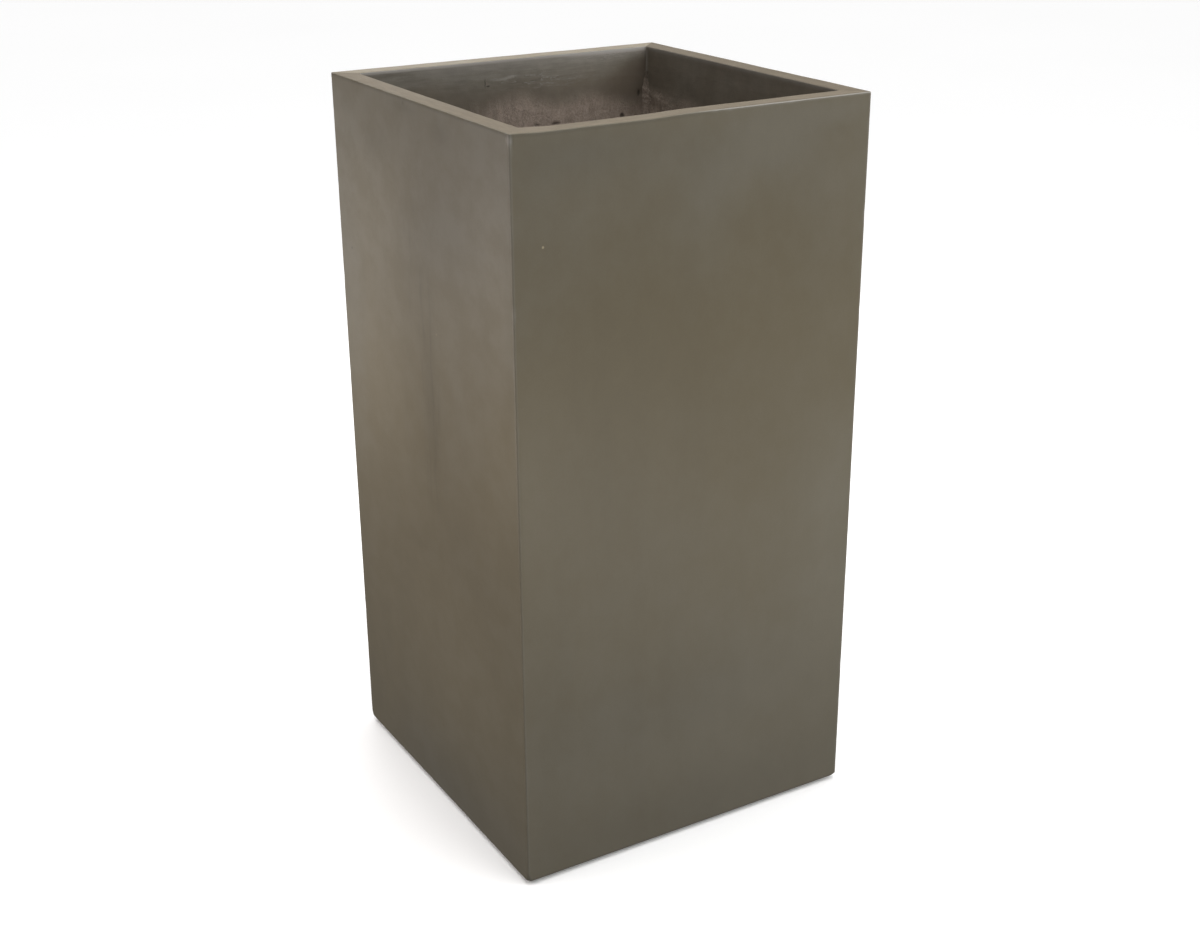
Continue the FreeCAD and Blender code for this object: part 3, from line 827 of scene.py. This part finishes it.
# Base slab, plug and feet
def base_piece(finish):
    """The slab: a square ring with an uneven trowelled top and a softened edge round the drain hole."""
    run = np.linspace(-1, 1, 25)[:-1]
    one_side = np.stack([run, -np.ones(len(run)), np.zeros(len(run))], -1)
    square = np.concatenate([about_z(one_side, turn) for turn in range(4)]) * BASE_HALF
    hole = square / np.linalg.norm(square, axis=1, keepdims=True) * HOLE_RADIUS
    top, bottom = base_high.z, base_low.z
    widen = 1 + HOLE_EDGE / HOLE_RADIUS
    spread = [0.97, 0.85, 0.72, 0.59, 0.46, 0.33, 0.22, 0.14, 0.08, 0.04]
    loop = [(1, 1, bottom), (1, 1, top)] + [(share, widen, top) for share in spread]
    loop += [(0, widen, top), (0, 1, top - HOLE_EDGE), (0, 1, bottom + HOLE_EDGE), (0, widen, bottom)]
    loop += [(share, widen, bottom) for share in spread[::-1]]
    rings = np.array([
        hole * opening * (1 - share) + square * share + np.array((0, 0, level))
        for share, opening, level in loop
    ])
    from_hole = np.linalg.norm(rings[..., :2], axis=-1)
    on_top = (rings[..., 2] == top) * smooth_step(0.027, 0.05, from_hole)
    rings[..., 2] -= BASE_WAVE * on_top * (0.5 + 0.5 * noise_at(rings, 22.0, 51.0))
    piece = mesh_piece("base_cast", rings, ring_faces(len(loop), len(square), looped=True), [finish])
    dress(piece, "base_slab", "planter")


def softened(corners, steps=4):
    """A profile of radius and height with each corner rounded by its own amount."""
    spots = [np.array(corner[:2]) for corner in corners]
    points = [spots[0]]
    for before, here, after, (_, _, amount) in zip(spots, spots[1:], spots[2:], corners[1:]):
        start = here + amount * (before - here) / np.linalg.norm(before - here)
        end = here + amount * (after - here) / np.linalg.norm(after - here)
        for share in np.linspace(0, 1, steps + 1):
            points.append((1 - share) ** 2 * start + 2 * share * (1 - share) * here + share ** 2 * end)
    return points + [spots[-1]]


def turned_piece(name, profile, centre, finish):
    """A piece turned about an upright axis from a profile that starts and ends near the axis."""
    angles = np.linspace(0, 2 * math.pi, TURNED_STEPS, endpoint=False)
    rings = [
        [(centre[0] + radius * math.cos(a), centre[1] + radius * math.sin(a), level) for a in angles]
        for radius, level in profile
    ]
    return mesh_piece(name, rings, ring_faces(len(profile), TURNED_STEPS), [finish])


def plug_piece(finish):
    """The drain plug: ribbed tapered stem, flange on the base, neck and pull knob."""
    tip, seat, top = plug_low.z, BASE_TOP, plug_high.z
    flange_radius = plug_high.x
    corners = [(0.002, tip, 0), (STEM_TIP_RADIUS, tip, 0.001)]
    for rib in range(3):
        low = tip + (seat - tip) * (0.28 + 0.2 * rib)
        radius = STEM_TIP_RADIUS + (STEM_RADIUS - STEM_TIP_RADIUS) * (low - tip) / (seat - tip)
        groove = radius - RIB_DEPTH
        corners += [
            (radius, low, 0.0003), (groove, low + 0.0004, 0.0003),
            (groove, low + 0.0016, 0.0003), (radius, low + 0.002, 0.0003),
        ]
    knob_low = top - KNOB_HEIGHT
    corners += [
        (STEM_RADIUS, seat, 0.0004), (flange_radius, seat, 0.0006),
        (flange_radius, seat + FLANGE, 0.0014), (flange_radius - 0.006, seat + FLANGE, 0.001),
        (flange_radius - 0.007, seat + FLANGE - 0.0007, 0.0005),
        (NECK_RADIUS, seat + FLANGE - 0.0007, 0.002), (NECK_RADIUS, knob_low, 0.0015),
        (KNOB_RADIUS, knob_low, 0.0014), (KNOB_RADIUS, top, 0.0022), (0.004, top, 0.0008),
        (0.003, top - 0.0006, 0.0003), (0.0015, top - 0.0006, 0),
    ]
    piece = turned_piece("plug_moulded", softened(corners), (0, 0), finish)
    dress(piece, "drain_plug", "plug")


def foot_piece(corner, finish):
    """A rubber foot pad with three grooves in its tread."""
    low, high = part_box(f"foot_{corner}")
    radius = (high.x - low.x) / 2
    corners = [(0.002, low.z, 0)]
    for groove in FOOT_GROOVES:
        bottom = low.z + FOOT_GROOVE_DEPTH
        corners += [
            (groove, low.z, 0.0002), (groove + 0.0005, bottom, 0.0002),
            (groove + 0.0015, bottom, 0.0002), (groove + 0.002, low.z, 0.0002),
        ]
    corners += [(radius, low.z, 0.001), (radius, high.z, 0.0006), (0.002, high.z, 0)]
    centre = ((low.x + high.x) / 2, (low.y + high.y) / 2)
    piece = turned_piece(f"foot_moulded_{corner}", softened(corners), centre, finish)
    dress(piece, f"foot_{corner}", "planter")


# Camera, lights and floor
IMAGE_WIDTH_MM = 36.0
CAMERA_PLACE = (-0.8787, -1.5022, 1.0622)
CAMERA_AZIMUTH, CAMERA_ELEVATION, CAMERA_ROLL = -30.543, 21.929, -0.385
CAMERA_LENS = 50.963
WORLD_STRENGTH = 0.28
STAGE_REACH = 20.0
BACKDROP_HEIGHT = 12.0
PALE_TONES = (0.91, 0.94)


def make_camera():
    azimuth, elevation, roll = map(math.radians, (CAMERA_AZIMUTH, CAMERA_ELEVATION, CAMERA_ROLL))
    level = math.cos(elevation)
    back = Vector((math.sin(azimuth) * level, -math.cos(azimuth) * level, math.sin(elevation)))
    right = Vector((0, 0, 1)).cross(back).normalized()
    turned = Matrix.Rotation(roll, 3, back) @ Matrix((right, back.cross(right), back)).transposed()
    data = bpy.data.cameras.new("camera")
    data.sensor_width = IMAGE_WIDTH_MM
    data.lens = CAMERA_LENS
    camera = bpy.data.objects.new("camera", data)
    camera.matrix_world = Matrix.Translation(CAMERA_PLACE) @ turned.to_4x4()
    bpy.context.scene.collection.objects.link(camera)
    bpy.context.scene.camera = camera


def light(name, kind, place, aim, power, **settings):
    data = bpy.data.lights.new(name, kind)
    data.energy = power
    for key, value in settings.items():
        setattr(data, key, value)
    lamp = bpy.data.objects.new(name, data)
    lamp.location = place
    lamp.rotation_euler = (Vector(aim) - Vector(place)).to_track_quat("-Z", "Y").to_euler()
    lamp.visible_camera = False
    bpy.context.scene.collection.objects.link(lamp)


def panel(name, place, aim, power, size, colour=(1, 1, 1)):
    """A soft rectangular lamp."""
    light(name, "AREA", place, aim, power, shape="RECTANGLE", size=size[0], size_y=size[1], color=colour)


def make_lights():
    light("ceiling", "SUN", (0, 0, 4), (0, 0, 0), 2.15, angle=math.radians(50))
    panel("front_high", (0.45, -1.9, 2.0), (0, 0, 0.7), 13, (1.0, 0.8))
    panel("right_low", (1.9, -1.25, 1.65), (0, 0, 0.7), 28, (2.2, 1.5))
    panel("front_low", (0.19, -0.85, 0.12), (0.1, -0.2, 0.40), 0.75, (0.5, 0.2))
    panel("left_low", (-0.8, 0.1, 0.58), (-0.2, 0.05, 0.56), 2.6, (0.5, 0.25), (1.0, 0.915, 0.885))
    panel("left_sheen", (-0.75, 1.3, 0.35), (-0.2, 0.1, 0.6), 0.6, (0.5, 0.4))
    panel("back_fill", (0.3, 1.9, 1.5), (0, 0.1, 0.6), 12, (1.0, 0.8))
    world = bpy.data.worlds.new("studio")
    bpy.context.scene.world = world
    world.use_nodes = True
    background = world.node_tree.nodes["Background"]
    background.inputs["Color"].default_value = rgb(1, 1, 1)
    background.inputs["Strength"].default_value = WORLD_STRENGTH


def stage_piece(name, points, faces, glow):
    """A pale piece of the studio that the camera sees and that throws no light or shade on the object."""
    material, tree, shader = new_material(f"pale_{name}")
    tone = noise_value(tree, place_coordinates(tree), 0.8, 2.0)
    darker, paler = (rgb(*(value,) * 3) for value in PALE_TONES)
    colour = mix_colour(tree, tone, darker, paler)
    tree.links.new(colour, shader.inputs["Base Color"])
    shader.inputs["Roughness"].default_value = 0.9
    shader.inputs["Emission Color"].default_value = rgb(1, 1, 1)
    shader.inputs["Emission Strength"].default_value = glow
    piece = mesh_piece(name, points, faces, [material])
    piece.visible_diffuse = False
    piece.visible_glossy = False
    piece.visible_shadow = False


def make_stage():
    """A wide floor, and a white backdrop all round it."""
    corners = STAGE_REACH * np.array([(-1, -1, 0), (1, -1, 0), (1, 1, 0), (-1, 1, 0)])
    stage_piece("floor", corners, [(0, 1, 2, 3)], 0.1)
    upright = np.concatenate([corners, corners + (0, 0, BACKDROP_HEIGHT)])
    sides = [(side, (side + 1) % 4, (side + 1) % 4 + 4, side + 4) for side in range(4)]
    stage_piece("backdrop", upright, sides, 0.9)


wall_materials = (sealed_concrete(), rim_concrete(), inside_concrete())
mortar_finish = mortar()
foot_finish = moulded_rubber("foot_rubber", (0.025, 0.025, 0.025))
for wall_side in SIDES:
    wall_piece(wall_side, wall_materials)
    base_bead(wall_side, mortar_finish)
for corner_name in CORNERS:
    corner_strip(corner_name, mortar_finish)
    foot_piece(corner_name, foot_finish)
base_piece(raw_concrete())
plug_piece(moulded_rubber("plug_rubber", (0.018, 0.017, 0.016)))

make_stage()
make_lights()
make_camera()
bpy.context.scene.view_settings.view_transform = "Standard"
